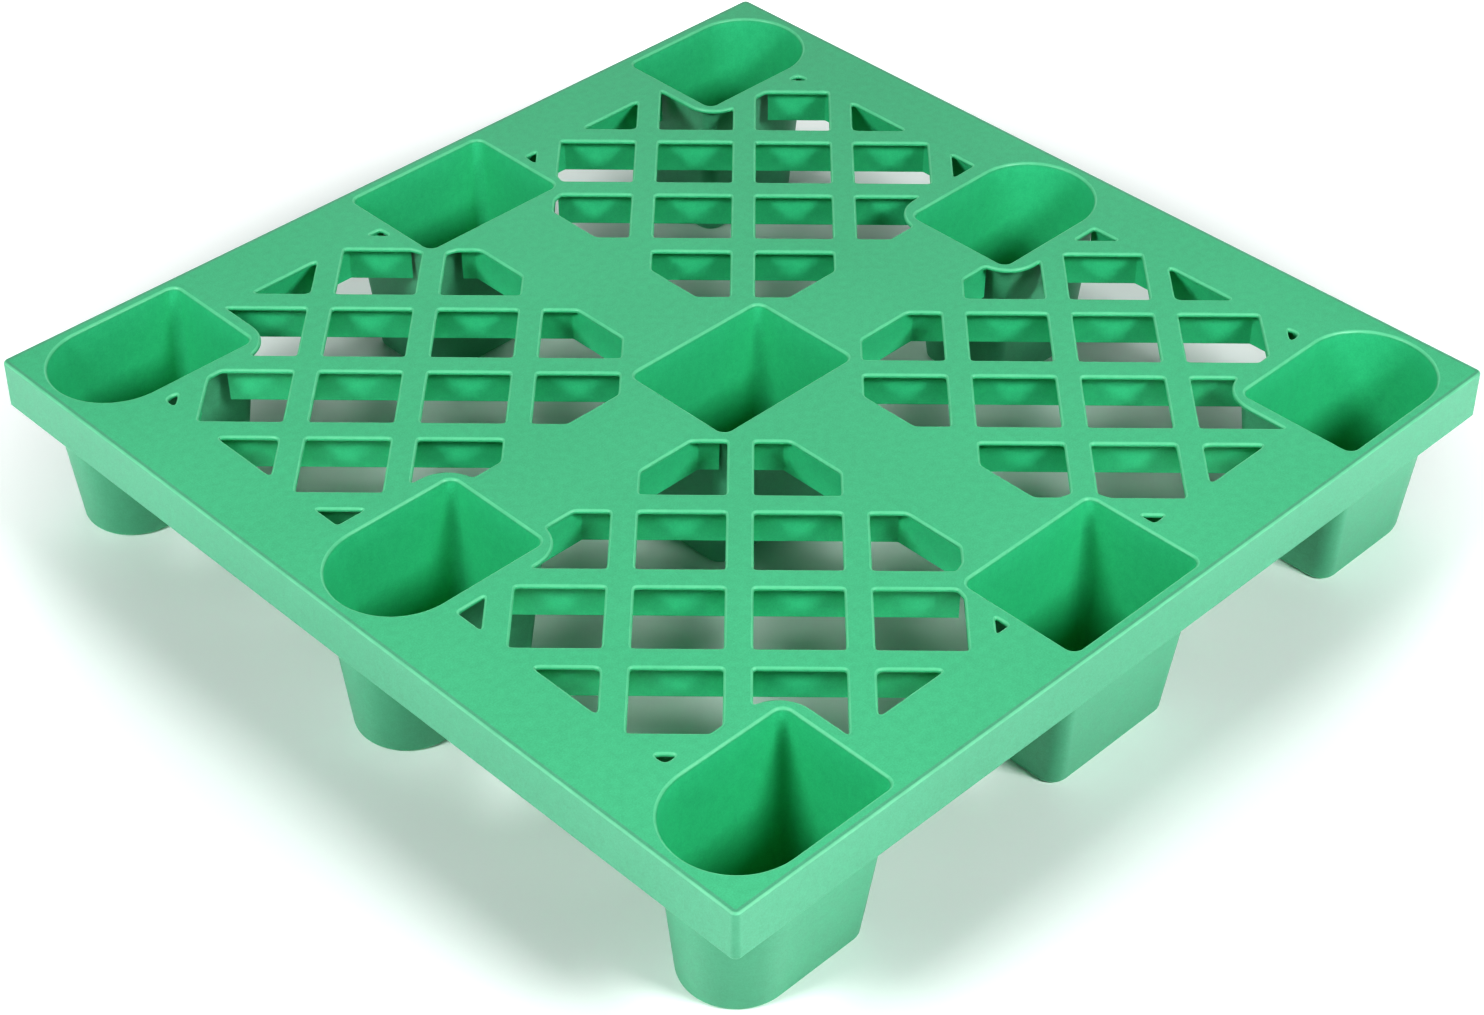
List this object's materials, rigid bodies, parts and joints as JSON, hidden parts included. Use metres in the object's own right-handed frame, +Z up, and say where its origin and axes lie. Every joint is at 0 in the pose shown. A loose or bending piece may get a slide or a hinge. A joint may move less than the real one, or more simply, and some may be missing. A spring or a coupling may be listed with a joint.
{
  "type": "nestable plastic pallet",
  "caption": "Square nestable plastic pallet with an open diagonal grid deck, solid cross and border strips, a rim skirt and hollow tapered legs.",
  "frame": {"origin": "On the floor, under the middle of the pallet (bottom centre of its bounding box).", "axes": "+Z up, deck on top. X runs along the front edge and is the direction of the flat ends of the outer cups; Y runs from the front edge to the rear edge."},
  "size_m": [0.8012, 0.8012, 0.14],
  "materials": {
    "green_skirt": "satin moulded polypropylene, slightly scuffed",
    "green_leg": "satin moulded polypropylene",
    "green_grid": "satin moulded polypropylene",
    "green_deck": "satin moulded polypropylene"
  },
  "bodies": {
    "root": {"leg_front_left": "green_leg", "leg_front_centre": "green_leg", "leg_front_right": "green_leg", "leg_mid_left": "green_leg", "leg_mid_centre": "green_leg", "leg_mid_right": "green_leg", "leg_rear_left": "green_leg", "leg_rear_centre": "green_leg", "leg_rear_right": "green_leg", "grid_front_left": "green_grid", "grid_front_right": "green_grid", "grid_rear_left": "green_grid", "grid_rear_right": "green_grid", "cross_left": "green_deck", "cross_right": "green_deck", "cross_front": "green_deck", "cross_rear": "green_deck", "border_front_left": "green_deck", "border_front_right": "green_deck", "border_rear_left": "green_deck", "border_rear_right": "green_deck", "border_left_front": "green_deck", "border_left_rear": "green_deck", "border_right_front": "green_deck", "border_right_rear": "green_deck", "skirt_front": "green_skirt", "skirt_right": "green_skirt", "skirt_rear": "green_skirt", "skirt_left": "green_skirt"}
  },
  "joints": []
}
